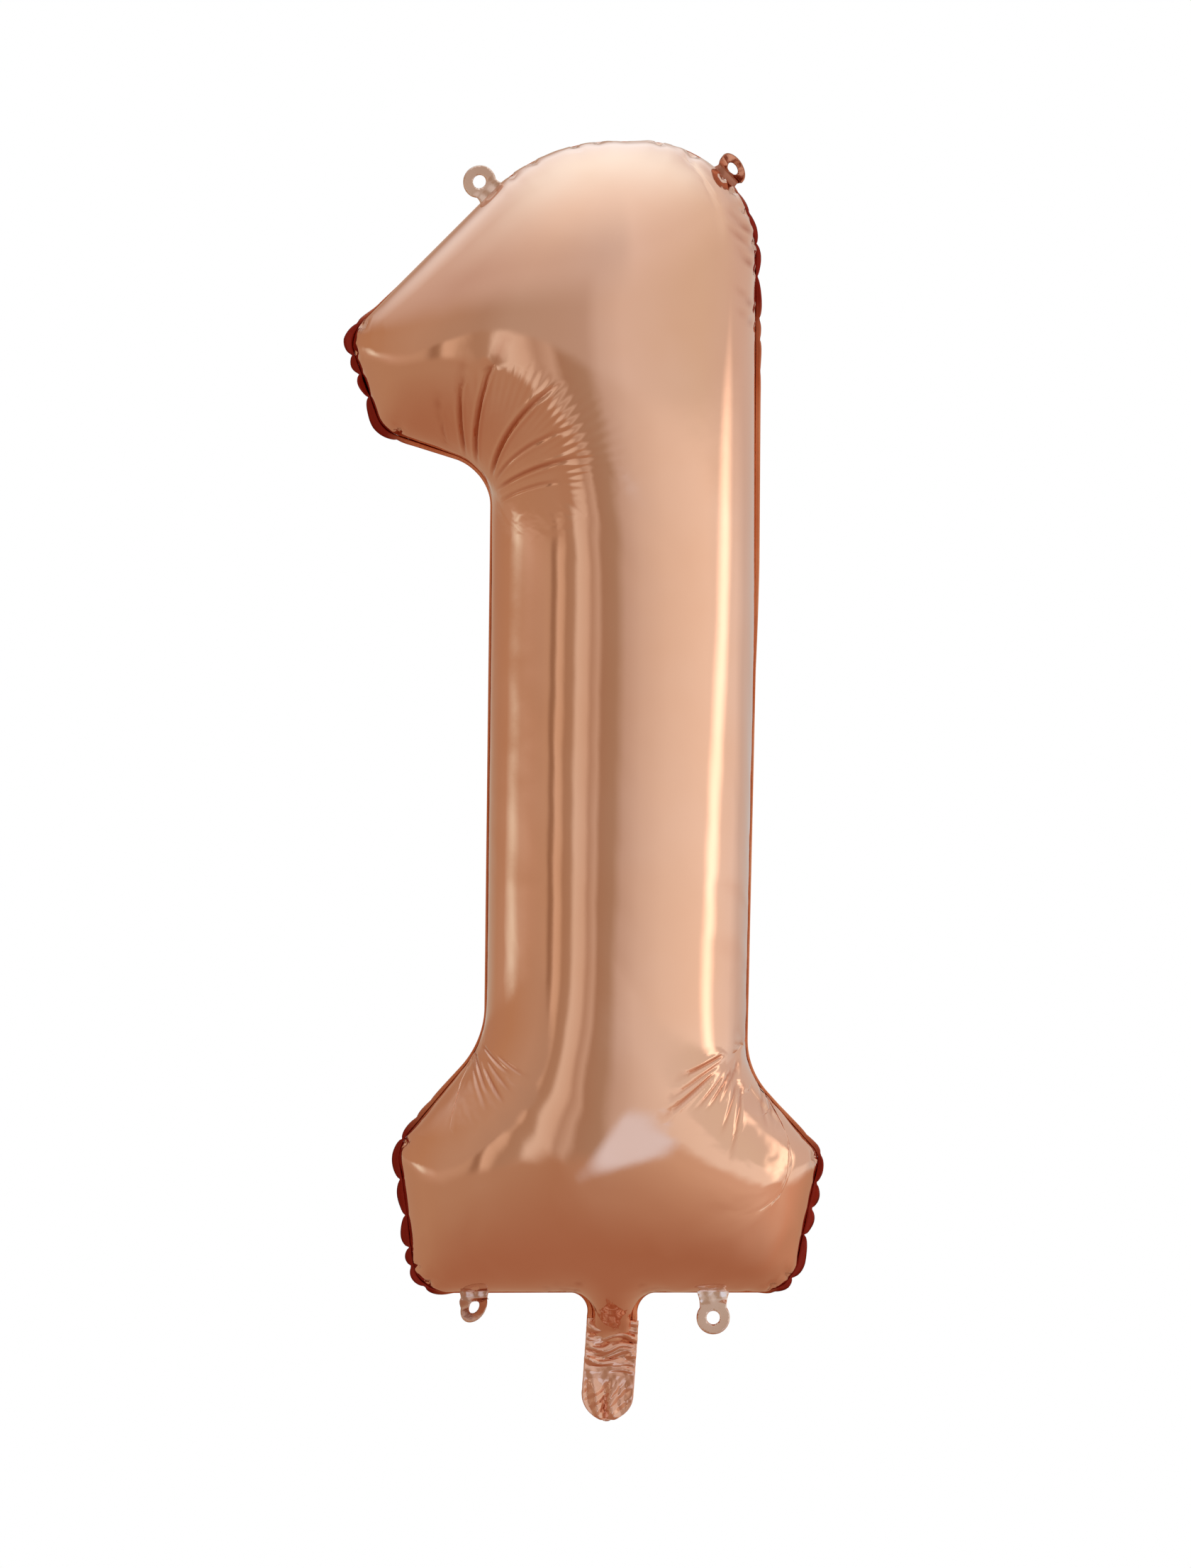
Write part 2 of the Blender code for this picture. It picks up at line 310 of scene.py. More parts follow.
skin = {
    # mm: the film mesh near its edge, inside and at creases, and the width of the fine band
    "fine": 5.8, "coarse": 10.5, "dense": 2.5, "band": 24, "clear": 0.6,
    # frames while the edge draws in and then to settle, and the film's settings
    "moveFrames": 20, "restFrames": 26, "quality": 5, "mass": 0.3,
    "pressure": 10.0, "stretch": 15.0, "bend": 0.05, "air": 6.0, "damping": 5.0,
    # mm: first unevenness, thickness, and how far the simulated film may swell or wrinkle
    "ripple": 0.4, "film": 0.18, "swell": 6.0, "wrinkleIn": -9, "wrinkleOut": 7,
}


def inflateFilm(name, loop, flat, faces, seed):
    # a flat film with its edge drawn in to the seam while gas pushes it out; gives its points
    total = len(loop)
    ripple = np.random.default_rng(seed).uniform(-skin["ripple"], skin["ripple"], len(flat))
    start = np.stack([flat[:, 0], ripple, flat[:, 1]], 1)
    film = meshObject(name, start, faces, None)
    group = film.vertex_groups.new(name="seam")
    group.add(list(range(total)), 1, "REPLACE")
    film.shape_key_add(name="Basis")
    key = film.shape_key_add(name="drawnIn", from_mix=False)
    pulled = start.copy()
    pulled[:total] = np.stack([loop[:, 0], np.zeros(total), loop[:, 1]], 1)
    key.data.foreach_set("co", (pulled * millimetre).astype(np.float32).ravel())
    key.value = 0
    key.keyframe_insert("value", frame=1)
    key.value = 1
    key.keyframe_insert("value", frame=1 + skin["moveFrames"])
    cloth = film.modifiers.new("gas", "CLOTH")
    settings = cloth.settings
    settings.vertex_group_mass = "seam"
    settings.quality = skin["quality"]
    settings.mass = skin["mass"]
    settings.air_damping = skin["air"]
    settings.tension_stiffness = skin["stretch"]
    settings.compression_stiffness = skin["stretch"]
    settings.shear_stiffness = skin["stretch"] / 3
    settings.bending_stiffness = skin["bend"]
    settings.tension_damping = skin["damping"]
    settings.compression_damping = skin["damping"]
    settings.shear_damping = skin["damping"]
    settings.use_pressure = True
    settings.uniform_pressure_force = skin["pressure"]
    settings.effector_weights.gravity = 0
    cloth.collision_settings.use_collision = False
    last = 1 + skin["moveFrames"] + skin["restFrames"]
    cloth.point_cache.frame_end = last
    scene = bpy.context.scene
    scene.frame_start, scene.frame_end = 1, last
    for f in range(1, last + 1):
        scene.frame_set(f)
    shown = film.evaluated_get(bpy.context.evaluated_depsgraph_get())
    settled = np.empty(len(flat) * 3, np.float32)
    shown.to_mesh().vertices.foreach_get("co", settled)
    shown.to_mesh_clear()
    bpy.data.objects.remove(film)
    scene.frame_set(1)
    return settled.reshape(-1, 3).astype(float) / millimetre


# how much of the simulated crumple stays: x, z, reach, share
crumpleZones = [
    (-60, 930, 60, 0.10), (75, 925, 60, 0.16), (-185, 790, 50, 0.16), (-95, 720, 50, 0.08),
    (-150, 140, 60, 0.2), (0, 100, 50, 0.2), (135, 140, 60, 0.2), (-105, 265, 50, 0.10), (105, 255, 50, 0.10),
]
# where the film mesh is densest, for the creases
denseZones = [(-78, 738, 64), (80, 236, 50), (-97, 252, 38)]


def crumpleShare(points, base=0.03):
    share = np.full(len(points), base)
    for x, z, reach, amount in crumpleZones:
        apart = np.linalg.norm(points - (np.array([x, z]) - hang), axis=1)
        share = np.maximum(share, base + (amount - base) * np.exp(-(apart / reach) ** 2))
    return share


def isDense(points):
    near = np.zeros(len(points), bool)
    for x, z, reach in denseZones:
        near |= np.linalg.norm(points - (np.array([x, z]) - hang), axis=1) < reach
    return near


# single creases, from the seam inwards: places on each, depth, width
singleCreases = [
    ([(-127, 724), (-130, 741), (-133, 757), (-135, 772)], 0.45, 1.1),
    ([(-113, 719), (-115.5, 741), (-115, 765), (-110, 801)], 1.2, 1.25),
    ([(-104, 713), (-102, 747), (-91, 782), (-76, 805)], 1.4, 1.35),
    ([(-93, 703), (-82, 728), (-62, 751), (-33, 772)], 1.5, 1.4),
    ([(-90, 699), (-74, 715), (-52, 727), (-26, 736)], 0.6, 1.2),
    ([(-88, 693), (-68, 702), (-44, 709), (-14, 713)], 0.9, 1.3),
    ([(-86, 684), (-70, 690), (-52, 694), (-36, 695)], 0.45, 1.2),
    ([(105, 879), (98, 885), (89, 892), (79, 898)], 0.9, 1.8),
    ([(105, 867), (98, 873), (89, 880), (78, 886)], 0.8, 1.8),
    ([(105, 855), (99, 860), (92, 866), (82, 872)], 0.9, 1.8),
    ([(104, 826), (98, 831), (92, 836), (84, 841)], 0.7, 1.7),
    ([(104, 813), (98, 817), (92, 821), (86, 825)], 0.5, 1.6),
]
# fans of creases at the waists and beside the neck, in mm from a root outside the seam, and in degrees
creaseFans = [
    dict(root=(-112, 296), start=(18, 34), aim=-62, spread=46, count=6, reach=(26, 46),
         depth=0.7, width=1.2, bend=16, seed=5),
    dict(root=(96, 286), start=(14, 34), aim=236, spread=62, count=8, reach=(34, 62),
         depth=0.9, width=1.3, bend=-12, seed=6),
    dict(root=(104, 276), start=(16, 34), aim=286, spread=34, count=5, reach=(24, 42),
         depth=0.7, width=1.2, bend=14, seed=7),
    dict(root=(-41, 74), start=(19, 24), aim=92, spread=56, count=6, reach=(10, 18),
         depth=0.6, width=1.1, bend=10, seed=8),
    dict(root=(28, 74), start=(19, 24), aim=90, spread=50, count=5, reach=(7, 13),
         depth=0.4, width=1.0, bend=-10, seed=9),
]


def creaseLines(rear):
    # every crease as a smooth run of points with its depth and width; the rear film has fans of its own
    lines = []
    for line, depth, width in singleCreases:
        points = np.array(line, float) - hang
        smooth = np.polyfit(np.arange(len(points)), points, 3)
        t = np.linspace(0, len(points) - 1, 18)
        curve = np.stack([np.polyval(smooth[:, k], t) for k in (0, 1)], 1)
        lines.append((curve, depth, width))
    parts = 13                        # short straights in a fan's crease
    for fan in creaseFans:
        rng = np.random.default_rng(fan["seed"] + 40 * rear)
        for k in range(fan["count"]):
            place = (k + 0.5 + rng.uniform(-0.3, 0.3)) / fan["count"] - 0.5
            heading = math.radians(fan["aim"] + fan["spread"] * place)
            length = rng.uniform(*fan["reach"])
            turn = heading + math.radians(fan["bend"]) * rng.uniform(0.4, 1.2) * np.linspace(0, 1, parts + 1)
            first = np.array(fan["root"]) - hang
            first = first + rng.uniform(*fan["start"]) * np.array([math.cos(heading), math.sin(heading)])
            steps = np.stack([np.cos(turn), np.sin(turn)], 1) * length / parts
            line = first + np.concatenate([[[0, 0]], np.cumsum(steps[1:], 0)])
            lines.append((line, fan["depth"] * rng.uniform(0.5, 1.1), fan["width"]))
    return lines


# the last two set the painted crease shade: the crease depth in mm that gets all of it, and the least share
# any crease gets
creaseShape = {"ridge": 0.45, "ridgeOff": 1.9, "fullShadeDepth": 1.3, "leastShade": 0.15}


def creaseDepth(points, rear):
    # how far the creases lift each place, and how much painted crease shade shows there
    shape = creaseShape
    depth = np.zeros(len(points))
    tone = np.zeros(len(points))
    for line, deep, wide in creaseLines(rear):
        length = np.linalg.norm(np.diff(line, axis=0), axis=1).sum()
        near = np.linalg.norm(points - line.mean(0), axis=1) < 0.6 * length + 5 * wide
        _, which = nearestOn(points[near], line)
        which = np.clip(which, 0, len(line) - 2)
        ahead = line[which + 1] - line[which]
        piece = np.linalg.norm(ahead, axis=1)
        ahead /= piece[:, None]
        offset = points[near] - line[which]
        side = ahead[:, 0] * offset[:, 1] - ahead[:, 1] * offset[:, 0]
        run = (which + (offset * ahead).sum(1) / piece) / (len(line) - 1)
        width = wide * (0.8 + 0.5 * np.clip(run, 0, 1))
        fade = smoothStep((run + 0.04) / 0.16) * smoothStep((1.02 - run) / 0.6)
        valley = np.exp(-(side / width) ** 2)
        ridges = sum(np.exp(-(side / width + off) ** 2) for off in (-shape["ridgeOff"], shape["ridgeOff"]))
        depth[near] += deep * fade * (shape["ridge"] * ridges - valley)
        strength = np.clip(deep / shape["fullShadeDepth"], shape["leastShade"], 1)
        tone[near] = np.maximum(tone[near], strength * fade * valley)
    return depth, tone


# fine ribs that cross the bend of the flag, square to the inner corner
elbowRibs = {
    "middle": (-100, 690), "reach": 78, "spread": 20, "pitch": 5.8, "height": 0.10,
    "from": -10, "to": 128, "fadeIn": 30, "fadeOut": 25,      # degrees round the middle
    "sway": ((0.9, 5, 0), (0.5, 11, 1 / 20)),                 # size, waves per turn, turn with the reach
}


def elbowRipple(points):
    ribs = elbowRibs
    away = points - (np.array(ribs["middle"]) - hang)
    reach = np.linalg.norm(away, axis=1)
    turn = np.arctan2(away[:, 1], away[:, 0])
    angle = np.degrees(turn)
    phase = turn * ribs["reach"] / ribs["pitch"] * 2 * math.pi
    for size, waves, withReach in ribs["sway"]:
        phase += size * np.sin(turn * waves + reach * withReach)
    share = np.exp(-((reach - ribs["reach"]) / ribs["spread"]) ** 2)
    share *= smoothStep((angle - ribs["from"]) / ribs["fadeIn"])
    share *= smoothStep((ribs["to"] - angle) / ribs["fadeOut"])
    return ribs["height"] * share * np.sin(phase)


# short tucks where a curved seam is drawn in; the film dips at each tuck and the weld strip folds there
tucks = {
    "spacing": 23.0, "depth": 2.8, "width": 2.4, "reach": 10.0, "seed": 11,     # mm
    "sway": (9.0, 17.0, 31.0), "tight": 60, "blur": 14,
}


def tuckPlan(loop, bends):
    # for each seam point: how drawn in it is (0 to 1), and its place in the run of tucks
    span = spanOf(loop)
    drawn = np.clip(bends * tucks["tight"], 0, 1)
    for _ in range(int(tucks["blur"] / span.mean()) ** 2 // 2 + 4):
        drawn = 0.5 * drawn + 0.25 * np.roll(drawn, 1) + 0.25 * np.roll(drawn, -1)
    run = np.cumsum(span)
    rng = np.random.default_rng(tucks["seed"])
    wobble = sum(rng.uniform(0.1, 0.3) * np.sin(run / length + rng.uniform(0, 6)) for length in tucks["sway"])
    phase = run / tucks["spacing"] + wobble
    return np.clip(drawn * 1.6, 0, 1), phase


def pinchAt(phase):
    # 1 at each tuck, 0 between
    off = np.abs(phase - np.round(phase)) * tucks["spacing"]
    return np.exp(-(off / tucks["width"]) ** 2)


loopFine, _, bendsFine = roundedLoop(seamCorners, outlineSteps["seam"])
dome = fitDome(roundedLoop(seamCorners, outlineSteps["gasShape"])[0])
drawnIn, tuckPhase = tuckPlan(loopFine, bendsFine)
value, _ = domeField(dome, loopFine)
print("gas shape fitted, worst miss at the seam", round(float(np.abs(value).max()), 2), "mm2")


neck = {"x": -4.0, "halfWidth": 26, "top": 88.0, "end": 62.0, "share": 0.16}      # mm; it lies nearly flat


def filmMesh(cut):
    # flat film: fine near its edge, coarse inside, dense where creases come
    clear = skin["clear"]
    fine = hexLattice(cut, skin["fine"])
    apart, _ = nearestOn(fine, cut)
    fine = fine[(apart > clear * skin["fine"]) & (apart < skin["band"]) & ~isDense(fine)]
    coarse = hexLattice(cut, skin["coarse"])
    apart, _ = nearestOn(coarse, cut)
    coarse = coarse[(apart >= skin["band"] + 0.25 * skin["coarse"]) & ~isDense(coarse)]
    dense = hexLattice(cut, skin["dense"])
    dense = dense[(nearestOn(dense, cut)[0] > clear * skin["dense"]) & isDense(dense)]
    return triangulate([cut], np.concatenate([fine, coarse, dense]))


def settledFilm(name, loop, flat, faces, seed):
    # where the film's points come to rest, at y below nought
    rim = len(loop)
    settled = inflateFilm(name + "Flat", loop, flat, faces, seed)
    settled[rim:, 1] = np.minimum(settled[rim:, 1], -0.5)
    settled[:rim] = np.stack([loop[:, 0], np.zeros(rim), loop[:, 1]], 1)
    return settled


def footAndWrinkle(name, settled, loop, edges):
    # the broad shape is the gas-filled one; the simulated film gives the wrinkles on it
    total, rim = len(settled), len(loop)
    near = settled.copy()             # film that swells well past the gas-filled shape starts nearer to it
    value, _ = domeField(dome, near[:, [0, 2]])
    near[:, 1] = np.maximum(near[:, 1], -np.sqrt(2 * np.maximum(value, 0)) - skin["swell"])
    foot, away = onDome(dome, near, 8)
    proud = ((settled - foot) * away).sum(1)
    # places that slipped over the seam come back between their neighbours
    onSeam = np.arange(total) < rim
    strayed = ~onSeam & ~insideOf(foot[:, [0, 2]], loop)
    proud[strayed] = 0
    foot[onSeam] = settled[onSeam]
    foot = relax(foot, edges, total, 120, held=~strayed)
    foot = relax(foot, edges, total, 6, held=onSeam)
    wrinkle = proud - relax(proud, edges, total, 40, held=onSeam)
    wrinkle = np.clip(wrinkle, skin["wrinkleIn"], skin["wrinkleOut"]) * crumpleShare(foot[:, [0, 2]])
    print(name, "settled,", int(strayed.sum()), "places brought back inside the seam")
    return foot, wrinkle


def liftAt(foot, wrinkle, rear):
    # how far the film stands off the gas-filled shape, and where the painted crease shade shows
    plan = foot[:, [0, 2]]
    crease, foldTone = creaseDepth(plan, rear)
    _, which = nearestOn(plan, loopFine)
    depth = -foot[:, 1]
    rise = depth / tucks["reach"]
    pinch = pinchAt(tuckPhase[which])
    swell = 0.25 * (1 - pinch) - pinch
    lift = wrinkle + crease + elbowRipple(plan)
    lift += tucks["depth"] * drawnIn[which] * swell * rise * np.exp(1 - rise)
    seamBand = 5.0                    # mm deep; nothing moves at the seam itself
    return lift * smoothStep(depth / seamBand), foldTone


def makeFilm(name, rear, seed, material):
    # one half of the skin, from flat film to filled
    cut, counts, _ = roundedLoop(cutCorners, skin["fine"])
    loop, _, _ = roundedLoop(seamCorners, skin["fine"], counts)
    flat, faces = filmMesh(cut)
    edges, which = edgesOf(faces)
    total, rim = len(flat), len(loop)
    area = flatArea(flat, faces)
    settled = settledFilm(name, loop, flat, faces, seed)
    foot, wrinkle = footAndWrinkle(name, settled, loop, edges)
    finer, ends = halveEdges(faces, total)
    foot = np.concatenate([foot, foot[ends].mean(1)])
    wrinkle = np.concatenate([wrinkle, wrinkle[ends].mean(1)])
    wrinkle = relax(wrinkle, edgesOf(finer)[0], len(foot), 1)
    onRim = np.zeros(len(foot), bool)
    onRim[:rim] = True
    onRim[total:] = np.bincount(which.ravel(), minlength=len(ends)) == 1
    foot[onRim, 1] = 0
    foot, away = onDome(dome, foot, 4)
    lift, foldTone = liftAt(foot, wrinkle, rear)
    shape = foot + away * lift[:, None]
    shape[:, 1] = np.minimum(shape[:, 1], 0)
    shape[onRim, 1] = 0
    across = np.abs(shape[:, 0] - (neck["x"] - hang[0])) < neck["halfWidth"]
    down = smoothStep((neck["top"] - hang[1] - shape[:, 2]) / (neck["top"] - neck["end"]))
    shape[across, 1] *= (1 - (1 - neck["share"]) * down)[across]
    if rear:
        shape[:, 1] *= -1
        finer = finer[:, ::-1]
    film = meshObject(name, shape, finer, material)
    # painted shade in the creases, which the foil material turns to darker copper
    paintPoints(film, "foldTone", foldTone)
    thicken(film, skin["film"], -1)
    smoothShade(film)
    flatSize = [float(v) * millimetre for v in cut.max(0) - cut.min(0)]
    print(name, len(film.data.polygons), "faces, flat", [round(v, 3) for v in flatSize], "m")
    return film, flatSize, area * millimetre ** 2


# materials

def addNode(material, kind, settings=None, **links):
    # a node with its settings; links are input name = (node, output) or a plain value, and i0 is input 0
    tree = material.node_tree
    node = tree.nodes.new("ShaderNode" + kind)
    for key, value in (settings or {}).items():
        setattr(node, key, value)
    for key, value in links.items():
        numbered = key[0] == "i" and key[1:].isdigit()
        socket = node.inputs[int(key[1:]) if numbered else key.replace("_", " ")]
        if isinstance(value, tuple) and hasattr(value[0], "outputs"):
            tree.links.new(value[0].outputs[value[1]], socket)
        else:
            socket.default_value = value
    return node


def mathNode(material, operation, *values):
    # one step of arithmetic, as (node, output)
    links = {f"i{k}": value for k, value in enumerate(values)}
    return addNode(material, "Math", {"operation": operation}, **links), 0


def mixNode(material, share, first, second):
    # from the first colour to the second as the share goes from 0 to 1
    return addNode(material, "Mix", {"data_type": "RGBA"}, i0=share, i6=first, i7=second), 2


def rangeNode(material, value, start, end, least=0.0, most=1.0, kind="LINEAR"):
    # from least to most as the value goes from start to end
    return addNode(material, "MapRange", {"interpolation_type": kind}, Value=value, From_Min=start,
                   From_Max=end, To_Min=least, To_Max=most), 0


def noiseNode(material, coords, scale, detail):
    return addNode(material, "TexNoise", None, Vector=(coords, "Object"), Scale=scale, Detail=detail), 0


def startMaterial(name):
    material = bpy.data.materials.new(name)
    material.use_nodes = True
    material.node_tree.nodes.clear()
    return material


def ramp(node, stops):
    elements = node.color_ramp.elements
    while len(elements) < len(stops):
        elements.new(0.5)
    for element, (place, colour) in zip(elements, stops):
        element.position = place
        element.color = colour
    return node


def foilMaterial(name, look, shadeAttribute=None):
    # vacuum-coated polyester film: a mirror of warm metal, a little deeper where the coat thins
    material = startMaterial(name)
    coords = addNode(material, "TexCoord")
    tint = addNode(material, "ValToRGB", None, Fac=noiseNode(material, coords, 9.0, 3.0))
    ramp(tint, [(0.35, linearColour(look["deep"])), (0.65, linearColour(look["light"]))])
    colour = (tint, 0)
    # painted shade: towards a darker colour where the named point value marks creases, folded-back lobes or
    # shaded tabs
    if shadeAttribute:
        tone = addNode(material, "Attribute", {"attribute_name": shadeAttribute})
        colour = mixNode(material, (tone, "Fac"), colour, linearColour(look["shadeColour"]))
    smear = noiseNode(material, coords, 34.0, 4.0)
    haze = rangeNode(material, smear, 0.0, 1.0, look["roughness"] * 0.8, look["roughness"] * 1.3)
    grain = noiseNode(material, coords, look["grain"], 3.0)
    bump = addNode(material, "Bump", None, Height=grain, Strength=1.0, Distance=look["bump"] * millimetre)
    metal = addNode(material, "BsdfPrincipled", None, Base_Color=colour, Roughness=haze,
                    Normal=(bump, "Normal"), Metallic=1.0)
    addNode(material, "OutputMaterial", None, Surface=(metal, "BSDF"))
    return material


# bump is in mm and grain in waves per metre; the folded colour, where given, is painted shade: darker copper
# put where the film is creased hard, folded back or turned from the light
foilLooks = {
    "skin": dict(light="#F0C3AB", deep="#EDBDA2", shadeColour="#B8643C", roughness=0.075, bump=0.03, grain=60),
    "seal": dict(light="#E79A70", deep="#D0744A", shadeColour="#8E2B20", roughness=0.28, bump=0.2, grain=400),
    "tab": dict(light="#F4DED2", deep="#E3BFAC", shadeColour="#A5522C", roughness=0.14, bump=0.12, grain=260),
    "tail": dict(light="#EFC4AF", deep="#DDA084", roughness=0.10, bump=0.08, grain=200),
}
# taut and clean, so it mirrors the room sharply, with painted shade in the creases as darker copper
skinFoil = foilMaterial("metallisedFilmRoseGold", foilLooks["skin"], "foldTone")
# fused by a hot bar, so duller; its deeper copper and the dark red where it folds back in lobes are painted
# shade, for the dark room it mirrors there
sealFoil = foilMaterial("heatSealedFilmCopper", foilLooks["seal"], "lobeTone")
# pressed between rollers, so paler and a little hazy, with painted shade as copper on some tabs, strongest at
# their roots
tabFoil = foilMaterial("crimpedTabFilm", foilLooks["tab"], "foldTone")
# loose and crushed by hand, so each facet mirrors another part of the room
tailFoil = foilMaterial("crumpledTailFilm", foilLooks["tail"])


# skin

frontFilm, filmSize, filmArea = makeFilm("frontFilm", False, 5, skinFoil)
rearFilm, _, _ = makeFilm("rearFilm", True, 8, skinFoil)
for film, node, slotName in ((frontFilm, "front_panel", "front_foil"), (rearFilm, "rear_panel", "rear_foil")):
    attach(film, "envelope")
    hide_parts(node)


# weld strip round the seam

weldShape = {"width": 4.6, "film": 0.14, "rows": (0.0, 0.3, 0.65, 1.0), "seed": 21}      # mm; rows go across
# how the strip lies, clockwise: x, z, share of its width, how lobed, lean (below nought folds it to the rear)
stripRuns = [
    (-94, 916, 0.4, 0, -88), (0, 948, 0.4, 0.1, -90), (80, 927, 0.5, 0.3, -70), (107, 892, 0.85, 0.9, -8),
    (105, 850, 0.85, 0.9, 0), (103, 815, 1.0, 0.4, 6), (103, 760, 0.9, 0, 6), (102, 640, 0.75, 0, 8),
    (100, 560, 0.35, 0, 0), (95, 290, 0.35, 0, 0), (118, 235, 0.5, 0, 0), (140, 208, 0.85, 0.3, 0),
    (149, 185, 1.3, 1, 0), (136, 118, 1.3, 1, 0), (127, 99, 1.1, 1, 0), (105, 96, 0.5, 0, -66),
    (25, 96, 0.5, 0, -66), (10, 78, 0.95, 0, 0), (-18, 78, 0.95, 0, 0), (-34, 96, 0.5, 0, -66),
    (-122, 96, 0.6, 0, -60), (-145, 101, 1.45, 1, 0), (-155, 132, 1.25, 1, 0), (-161, 198, 1.25, 1, 0),
    (-140, 232, 0.9, 0.3, 0), (-112, 262, 0.5, 0, 0), (-98, 300, 0.35, 0, 0), (-93, 690, 0.35, 0, 0),
    (-101, 713, 0.6, 0, 0), (-150, 731, 0.85, 0, 6), (-178, 744, 1.25, 1, 0), (-200, 806, 1.35, 1, 0),
    (-184, 831, 0.5, 0.3, -50), (-166, 848, 0.4, 0, -88),
]


def stripProfile(loop):
    # each of stripRuns' three settings for every point of the loop
    run = np.cumsum(spanOf(loop))
    keys = np.array([r[:2] for r in stripRuns], float) - hang
    where = run[nearestOn(keys, loop)[1]]
    order = np.argsort(where)
    settings = np.array([r[2:] for r in stripRuns], float)[order]
    return [np.interp(run, where[order], settings[:, k], period=run[-1]) for k in range(3)]


def makeWeldStrip(material):
    # the fused edge: flat along the straights, folded back between the tucks as round lobes
    loop, total = loopFine, len(loopFine)
    ahead = np.roll(loop, -1, 0) - np.roll(loop, 1, 0)
    ahead /= np.linalg.norm(ahead, axis=1)[:, None]
    outward = np.stack([-ahead[:, 1], ahead[:, 0]], 1)
    rng = np.random.default_rng(weldShape["seed"])
    share, lobed, lie = stripProfile(loop)
    pinch = pinchAt(tuckPhase) * lobed
    lobe = np.floor(tuckPhase).astype(int)
    size = rng.uniform(0.75, 1.15, lobe.max() + 3)[lobe]
    lean = lie + rng.uniform(-22, 22, lobe.max() + 3)[lobe] * lobed * (1 - pinch)
    rounded = np.abs(np.sin(math.pi * tuckPhase)) ** 0.55
    reach = weldShape["width"] * share * (1 - lobed * (1 - size * (0.22 + 0.9 * rounded)))
    rows = []
    for part in weldShape["rows"]:
        angle = np.radians(lean * part ** 0.7)
        out = reach * part * np.cos(angle)
        front = reach * part * np.sin(angle) + 0.5 * lobed * np.sin(tuckPhase * 2.9) * part
        flat = loop + outward * out[:, None]
        rows.append(np.stack([flat[:, 0], -front, flat[:, 1]], 1))
    k = np.arange(total)
    n = (k + 1) % total
    band = np.stack([k, n, n + total, k + total], 1)
    faces = np.concatenate([band + r * total for r in range(len(rows) - 1)])
    strip = meshObject("weldStrip", np.concatenate(rows), faces, material)
    # painted shade: the folded-back lobes take the dark red
    paintPoints(strip, "lobeTone", np.tile(np.clip(lobed * 1.4, 0, 1), len(rows)))
    thicken(strip, weldShape["film"], 0)
    smoothShade(strip)
    print("weld strip", round(float(spanOf(loop).sum())), "mm round")
    return strip


weldStrip = makeWeldStrip(sealFoil)
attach(weldStrip, "envelope")
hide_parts("edge_seal")


# tabs

tabShape = {
    "radius": 12.5, "hole": 5.0, "chord": 0.80, "flare": 4.2, "root": -3.0,     # mm; chord is a share
    "hinge": 5.1, "twistLength": 5.0, "film": 0.28, "mesh": 1.3,
    "gather": 0.8, "gatherFade": 6.5, "buckle": 0.42,
}
# root x, z on the seam, which way out, how far out the hole is, degrees of lean and twist, and the share of
# painted shade on the tab
tabPlaces = [
    dict(side="upper_left", root=(-94.3, 915.7), toward=135, reach=12.5, lean=-11, twist=6, tone=0.0),
    dict(side="upper_right", root=(79.7, 927.5), toward=43.5, reach=11.3, lean=56, twist=10, tone=0.8),
    dict(side="lower_left", root=(-107, 96), toward=270, reach=12.5, lean=34, twist=-36, tone=0.4),
    dict(side="lower_right", root=(71.4, 96), toward=270, reach=19.5, lean=9, twist=-7, tone=0.0),
]


def tabMesh(reach):
    # the punched ear laid flat: u across, v out from the seam
    radius, root, hole = tabShape["radius"], tabShape["root"], tabShape["hole"]
    chord = radius * tabShape["chord"]
    rise = math.asin(tabShape["chord"])
    angles = np.linspace(rise, 2 * math.pi - rise, 54)
    disc = np.stack([radius * np.sin(angles), reach - radius * np.cos(angles)], 1)
    share = np.linspace(0, 1, 9)[:-1]
    wide = chord + tabShape["flare"] * (1 - share) ** 2.4
    flare = np.stack([wide, root + (disc[0][1] - root) * share], 1)
    loop = np.concatenate([flare, disc, (flare * [-1, 1])[::-1]])[::-1]
    turns = np.linspace(0, 2 * math.pi, 40, endpoint=False)
    ring = np.stack([np.cos(turns), np.sin(turns)], 1) * hole + [0, reach]
    loose = hexLattice(loop, tabShape["mesh"])
    loose = loose[nearestOn(loose, np.concatenate([loop, ring]))[0] > 0.6 * tabShape["mesh"]]
    loose = loose[np.linalg.norm(loose - [0, reach], axis=1) > hole]
    points, faces = triangulate([loop, ring], loose)
    punched = np.linalg.norm(points[faces].mean(1) - [0, reach], axis=1) <= hole * 0.985
    return points, faces[~punched][:, ::-1]


